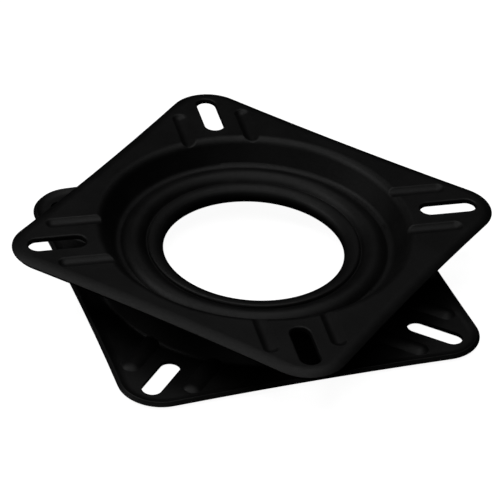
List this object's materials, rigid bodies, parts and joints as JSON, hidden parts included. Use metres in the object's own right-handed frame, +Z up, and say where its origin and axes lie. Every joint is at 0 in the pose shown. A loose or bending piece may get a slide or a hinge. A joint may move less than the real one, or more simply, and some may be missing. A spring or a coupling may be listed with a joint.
{
  "type": "swivel seat base",
  "caption": "Low swivel base for a camper or van seat: square pressed steel plates on a ball race, turning without limit, open through the middle, slotted at the corners.",
  "frame": {"origin": "centre of the lower plate's mounting face, on the swivel axis", "axes": "+Z up along the swivel axis to the seat; X and Y along the lower plate's diagonals, through its four slots"},
  "size_m": [0.233, 0.233, 0.03],
  "materials": {
    "plate_paint": "satin",
    "hub_paint": "satin",
    "ball_steel": "polished",
    "cage_plastic": "matte"
  },
  "bodies": {
    "base": {"bottom_plate": "plate_paint", "hub_ring": "hub_paint"},
    "turntable": {"top_plate": "plate_paint"},
    "cage": {"ball_cage": "cage_plastic", "ball_01": "ball_steel", "ball_02": "ball_steel", "ball_03": "ball_steel", "ball_04": "ball_steel", "ball_05": "ball_steel", "ball_06": "ball_steel", "ball_07": "ball_steel", "ball_08": "ball_steel", "ball_09": "ball_steel", "ball_10": "ball_steel", "ball_11": "ball_steel", "ball_12": "ball_steel", "ball_13": "ball_steel", "ball_14": "ball_steel", "ball_15": "ball_steel", "ball_16": "ball_steel", "ball_17": "ball_steel", "ball_18": "ball_steel", "ball_19": "ball_steel", "ball_20": "ball_steel", "ball_21": "ball_steel", "ball_22": "ball_steel", "ball_23": "ball_steel", "ball_24": "ball_steel"}
  },
  "joints": [
    {"name": "swivel", "type": "hinge", "parent": "base", "child": "turntable", "pos_m": [0, 0, 0.015], "axis": [0, 0, 1], "continuous": true},
    {"name": "cage_orbit", "type": "hinge", "parent": "base", "child": "cage", "pos_m": [0, 0, 0.015], "axis": [0, 0, 1], "continuous": true}
  ],
  "couplings": [
    {"joint": "cage_orbit", "follows": "swivel", "ratio": 0.5}
  ]
}
